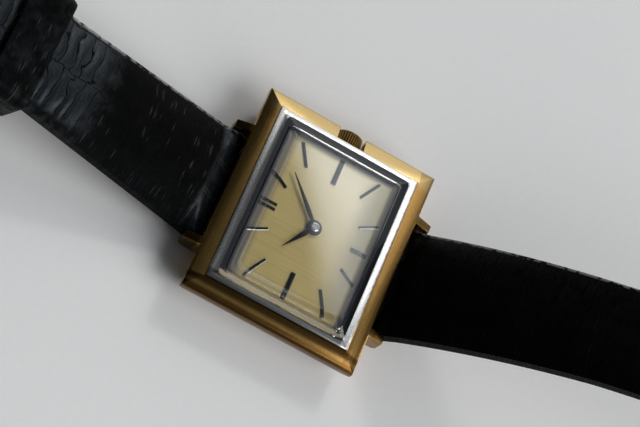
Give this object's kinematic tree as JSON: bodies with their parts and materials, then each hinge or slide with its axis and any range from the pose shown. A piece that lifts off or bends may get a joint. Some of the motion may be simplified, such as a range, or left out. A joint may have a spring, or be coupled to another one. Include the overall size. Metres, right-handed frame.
{
  "type": "wristwatch",
  "caption": "Rectangular hand-wound wristwatch with a sloped two-tone case, box crystal, turning hands and gear train, and a padded leather strap with a pin buckle",
  "frame": {"origin": "centre of the flat outer face of the case back", "axes": "+X to 3 o'clock and the crown, +Y to 12 o'clock, +Z out of the dial"},
  "size_m": [0.0303, 0.2147, 0.0345],
  "materials": {
    "gold_frame": "worn brushed gold plating",
    "silver_ring": "bright grained silver",
    "acrylic": "clear polished acrylic",
    "back_steel": "brushed steel",
    "tube_brass": "turned brass",
    "casing_ring": "plain turned metal",
    "dial_champagne": "champagne, vertically brushed",
    "marker_dark": "polished dark batons",
    "plate_brass": "gilt",
    "screw_steel": "polished and blued",
    "ruby": "polished synthetic ruby",
    "wheel_gilt": "gilt wheel",
    "spring_steel": "blued spring steel",
    "work_steel": "hardened steel",
    "hairspring_blue": "blued",
    "hand_black": "black lacquer on polished metal",
    "crown_gold": "worn gold plating, fluted",
    "strap_leather": "glossy black scaled leather",
    "buckle_gold": "polished gold plating"
  },
  "bodies": {
    "watch_case": {"case_body": "gold_frame", "inner_bezel": "silver_ring", "crystal": "acrylic", "case_back": "back_steel", "crown_tube": "tube_brass", "movement_holder": "casing_ring", "dial": "dial_champagne", "hour_markers": "marker_dark", "main_plate": "plate_brass", "barrel_bridge": "plate_brass", "train_bridge": "plate_brass", "pallet_bridge": "plate_brass", "balance_cock": "plate_brass", "bridge_screws": "screw_steel", "bearing_jewels": "ruby", "hairspring": "hairspring_blue", "spring_bar_12": "work_steel", "spring_bar_6": "work_steel"},
    "mainspring_barrel": {"mainspring_barrel": "wheel_gilt", "mainspring": "spring_steel"},
    "barrel_arbor": {"barrel_arbor": "work_steel", "ratchet_wheel": "work_steel"},
    "crown_wheel": {"crown_wheel": "work_steel"},
    "click": {"click": "work_steel"},
    "centre_wheel": {"centre_wheel": "wheel_gilt"},
    "cannon_pinion": {"cannon_pinion": "work_steel", "minute_hand": "hand_black"},
    "third_wheel": {"third_wheel": "wheel_gilt"},
    "fourth_wheel": {"fourth_wheel": "wheel_gilt"},
    "escape_wheel": {"escape_wheel": "work_steel"},
    "pallet_fork": {"pallet_fork": "work_steel"},
    "balance_wheel": {"balance_wheel": "wheel_gilt"},
    "minute_wheel": {"minute_wheel": "wheel_gilt"},
    "hour_wheel": {"hour_wheel": "wheel_gilt", "hour_hand": "hand_black"},
    "setting_wheel": {"setting_wheel": "work_steel"},
    "winding_pinion": {"winding_pinion": "work_steel"},
    "winding_stem": {"winding_stem": "work_steel", "crown": "crown_gold"},
    "clutch_wheel": {"clutch_wheel": "work_steel"},
    "setting_lever": {"setting_lever": "work_steel"},
    "yoke": {"yoke": "work_steel"},
    "strap_12": {"strap_12": "strap_leather", "fixed_keeper": "strap_leather"},
    "free_keeper": {"free_keeper": "strap_leather"},
    "strap_6": {"strap_6": "strap_leather"},
    "buckle": {"buckle_frame": "buckle_gold", "buckle_bar": "work_steel"},
    "buckle_tongue": {"buckle_tongue": "buckle_gold"}
  },
  "joints": [
    {"name": "minute_turn", "type": "hinge", "parent": "watch_case", "child": "cannon_pinion", "pos_m": [0, 0, 0.00425], "axis": [0, 0, -1], "continuous": true},
    {"name": "centre_turn", "type": "hinge", "parent": "watch_case", "child": "centre_wheel", "pos_m": [0, 0, 0.00305], "axis": [0, 0, -1], "continuous": true},
    {"name": "hour_turn", "type": "hinge", "parent": "watch_case", "child": "hour_wheel", "pos_m": [0, 0, 0.00425], "axis": [0, 0, -1], "continuous": true},
    {"name": "minute_wheel_turn", "type": "hinge", "parent": "watch_case", "child": "minute_wheel", "pos_m": [0.00144, -0.00249, 0.0037], "axis": [0, 0, -1], "continuous": true},
    {"name": "setting_wheel_turn", "type": "hinge", "parent": "watch_case", "child": "setting_wheel", "pos_m": [0.00341, 0, 0.0037], "axis": [0, 0, -1], "continuous": true},
    {"name": "barrel_turn", "type": "hinge", "parent": "watch_case", "child": "mainspring_barrel", "pos_m": [0.00195, 0.00418, 0.0025], "axis": [0, 0, -1], "continuous": true},
    {"name": "third_turn", "type": "hinge", "parent": "watch_case", "child": "third_wheel", "pos_m": [-0.00338, -0.00123, 0.0022], "axis": [0, 0, -1], "continuous": true},
    {"name": "fourth_turn", "type": "hinge", "parent": "watch_case", "child": "fourth_wheel", "pos_m": [-0.00365, -0.00428, 0.0026], "axis": [0, 0, -1], "continuous": true},
    {"name": "escape_turn", "type": "hinge", "parent": "watch_case", "child": "escape_wheel", "pos_m": [-0.00105, -0.00474, 0.0029], "axis": [0, 0, -1], "continuous": true},
    {"name": "pallet_swing", "type": "hinge", "parent": "watch_case", "child": "pallet_fork", "pos_m": [0.00082, -0.00507, 0.0029], "axis": [0, 0, 1], "range_deg": [-5, 5]},
    {"name": "balance_swing", "type": "hinge", "parent": "watch_case", "child": "balance_wheel", "pos_m": [0.00321, -0.00486, 0.0023], "axis": [0, 0, 1], "range_deg": [-270, 270], "stiffness_Nm_per_rad": 0.0000001},
    {"name": "crown_turn", "type": "hinge", "parent": "watch_case", "child": "winding_pinion", "pos_m": [0.007, 0, 0.003], "axis": [1, 0, 0], "continuous": true},
    {"name": "crown_pull", "type": "slide", "parent": "winding_pinion", "child": "winding_stem", "axis": [1, 0, 0], "range_m": [0, 0.0008]},
    {"name": "clutch_shift", "type": "slide", "parent": "winding_pinion", "child": "clutch_wheel", "axis": [-1, 0, 0], "range_m": [0, 0.00045]},
    {"name": "crown_wheel_turn", "type": "hinge", "parent": "watch_case", "child": "crown_wheel", "pos_m": [0.0054, 0, 0.0013], "axis": [0, 0, 1], "continuous": true},
    {"name": "ratchet_turn", "type": "hinge", "parent": "watch_case", "child": "barrel_arbor", "pos_m": [0.00195, 0.00418, 0.0013], "axis": [0, 0, 1], "continuous": true},
    {"name": "click_swing", "type": "hinge", "parent": "watch_case", "child": "click", "pos_m": [0.00049, 0.00817, 0.0013], "axis": [0, 0, 1], "range_deg": [0, 8], "stiffness_Nm_per_rad": 0.00001},
    {"name": "setting_lever_swing", "type": "hinge", "parent": "watch_case", "child": "setting_lever", "pos_m": [0.00836, -0.0027, 0.0037], "axis": [0, 0, -1], "range_deg": [0, 22.21]},
    {"name": "yoke_swing", "type": "hinge", "parent": "watch_case", "child": "yoke", "pos_m": [0.00547, -0.0033, 0.0037], "axis": [0, 0, 1], "range_deg": [0, 11.39]},
    {"name": "strap_12_swing", "type": "hinge", "parent": "watch_case", "child": "strap_12", "pos_m": [0, 0.0135, 0.0022], "axis": [1, 0, 0], "range_deg": [-92.4, 37.6]},
    {"name": "strap_6_swing", "type": "hinge", "parent": "watch_case", "child": "strap_6", "pos_m": [0, -0.0135, 0.0022], "axis": [-1, 0, 0], "range_deg": [-122, 8]},
    {"name": "free_keeper_slide", "type": "slide", "parent": "strap_12", "child": "free_keeper", "axis": [0, 0.9542, 0.299], "range_m": [-0.002, 0.014]},
    {"name": "buckle_swing", "type": "hinge", "parent": "strap_12", "child": "buckle", "pos_m": [0, 0.08583, 0.02092], "axis": [1, 0, 0], "range_deg": [-60, 60]},
    {"name": "tongue_swing", "type": "hinge", "parent": "buckle", "child": "buckle_tongue", "pos_m": [0, 0.08583, 0.02092], "axis": [1, 0, 0], "range_deg": [0, 70]}
  ],
  "couplings": [
    {"joint": "hour_turn", "follows": "minute_turn", "ratio": 0.083333},
    {"joint": "minute_wheel_turn", "follows": "minute_turn", "ratio": -0.33333},
    {"joint": "setting_wheel_turn", "follows": "minute_turn", "ratio": 0.70588},
    {"joint": "barrel_turn", "follows": "fourth_turn", "ratio": -0.0027778},
    {"joint": "third_turn", "follows": "fourth_turn", "ratio": -0.13333},
    {"joint": "centre_turn", "follows": "fourth_turn", "ratio": 0.016667},
    {"joint": "escape_turn", "follows": "fourth_turn", "ratio": -10},
    {"joint": "crown_wheel_turn", "follows": "crown_turn", "ratio": 0.72},
    {"joint": "ratchet_turn", "follows": "crown_turn", "ratio": -0.5},
    {"joint": "clutch_shift", "follows": "crown_pull", "ratio": 0.5625},
    {"joint": "setting_lever_swing", "follows": "crown_pull", "rad_per_m": 449.63},
    {"joint": "yoke_swing", "follows": "crown_pull", "rad_per_m": 224.4}
  ]
}
